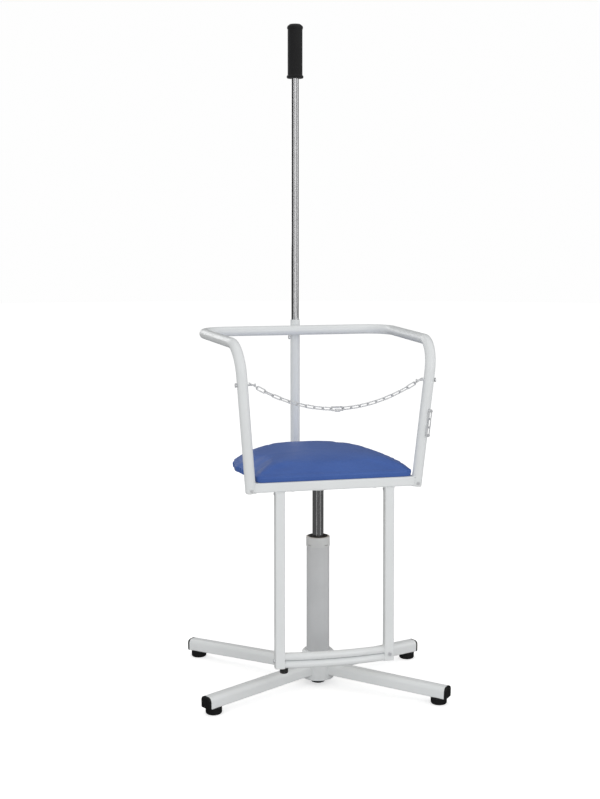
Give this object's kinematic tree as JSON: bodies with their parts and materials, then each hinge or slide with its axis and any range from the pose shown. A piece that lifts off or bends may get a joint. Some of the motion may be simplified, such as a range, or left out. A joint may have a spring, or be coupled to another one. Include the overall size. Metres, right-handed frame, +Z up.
{
  "type": "rotation test swivel chair",
  "caption": "Swivel chair with lift column, splayed legged base, D-shaped padded seat, bent-tube arms, safety chain, hanging footrest and rear push pole.",
  "frame": {"origin": "on the floor, on the axis of the lift column, at the underside of the foot under the hub", "axes": "+Z up along the column; the seat faces -Y at rest; +X is to the right of someone who faces the chair's front"},
  "size_m": [0.542, 0.4636, 1.462],
  "materials": {
    "white_paint": "satin powder coat, fine texture",
    "column_paint": "smooth pale grey paint",
    "collar_paint": "smooth pale grey paint",
    "chrome": "polished",
    "steel": "ground",
    "black_plastic": "moulded, fine grain",
    "white_plastic": "moulded",
    "bush_plastic": "acetal",
    "black_rubber": "matt",
    "grip_foam": "closed-cell foam sleeve",
    "vinyl": "smooth soft vinyl with a fine grain",
    "plywood": "sanded",
    "zinc": "bright zinc plate"
  },
  "bodies": {
    "root": {"base_bearing": "steel", "centre_foot": "black_plastic", "collar_ring": "collar_paint", "column_tube": "column_paint", "end_cap_front_left": "black_plastic", "end_cap_front_right": "black_plastic", "end_cap_rear_left": "black_plastic", "end_cap_rear_right": "black_plastic", "feet": "black_plastic", "gas_piston": "steel", "guide_bush": "bush_plastic", "hub_socket": "white_paint", "leg_front_left": "white_paint", "leg_front_right": "white_paint", "leg_rear_left": "white_paint", "leg_rear_right": "white_paint", "piston_rod": "steel", "retaining_clip": "steel", "seal_ring": "black_rubber"},
    "lift": {"lift_cylinder": "chrome", "lift_gland": "steel", "lower_race": "steel", "bearing_balls": "steel"},
    "seat": {"arm_plugs": "white_plastic", "arm_ring": "white_paint", "arm_screws": "zinc", "chain_pins": "zinc", "clamp_screw": "zinc", "footrest_bar_lower": "white_paint", "footrest_bar_upper": "white_paint", "footrest_bolts": "zinc", "footrest_screws": "zinc", "footrest_stop": "black_rubber", "footrest_upright_left": "white_paint", "footrest_upright_right": "white_paint", "front_rail": "white_paint", "pole_socket": "white_paint", "seat_arm_caps": "black_plastic", "seat_arm_left": "white_paint", "seat_arm_right": "white_paint", "seat_board": "plywood", "seat_cushion": "vinyl", "seat_screws": "zinc", "socket_plug": "black_plastic", "spare_links": "zinc", "spare_screws": "zinc", "spine_tube": "white_paint", "swivel_housing": "white_paint", "upper_race": "steel", "upright_plugs": "white_plastic"},
    "chain": {"chain_links_left": "zinc", "chain_links_right": "zinc", "quick_link": "zinc", "quick_link_sleeve": "zinc"},
    "pole": {"pole_tube": "chrome", "pole_plug": "black_plastic", "grip": "grip_foam"}
  },
  "joints": [
    {"name": "seat_lift", "type": "slide", "parent": "root", "child": "lift", "axis": [0, 0, 1], "range_m": [-0.022, 0.12]},
    {"name": "seat_swivel", "type": "hinge", "parent": "lift", "child": "seat", "pos_m": [0, 0, 0.4365], "axis": [0, 0, 1], "continuous": true},
    {"name": "pole_slide", "type": "slide", "parent": "seat", "child": "pole", "axis": [0, 0, 1], "range_m": [0, 0.18]},
    {"name": "chain_swing", "type": "hinge", "parent": "seat", "child": "chain", "pos_m": [0, -0.16141, 0.67675], "axis": [1, 0, 0], "range_deg": [-40, 40]}
  ]
}
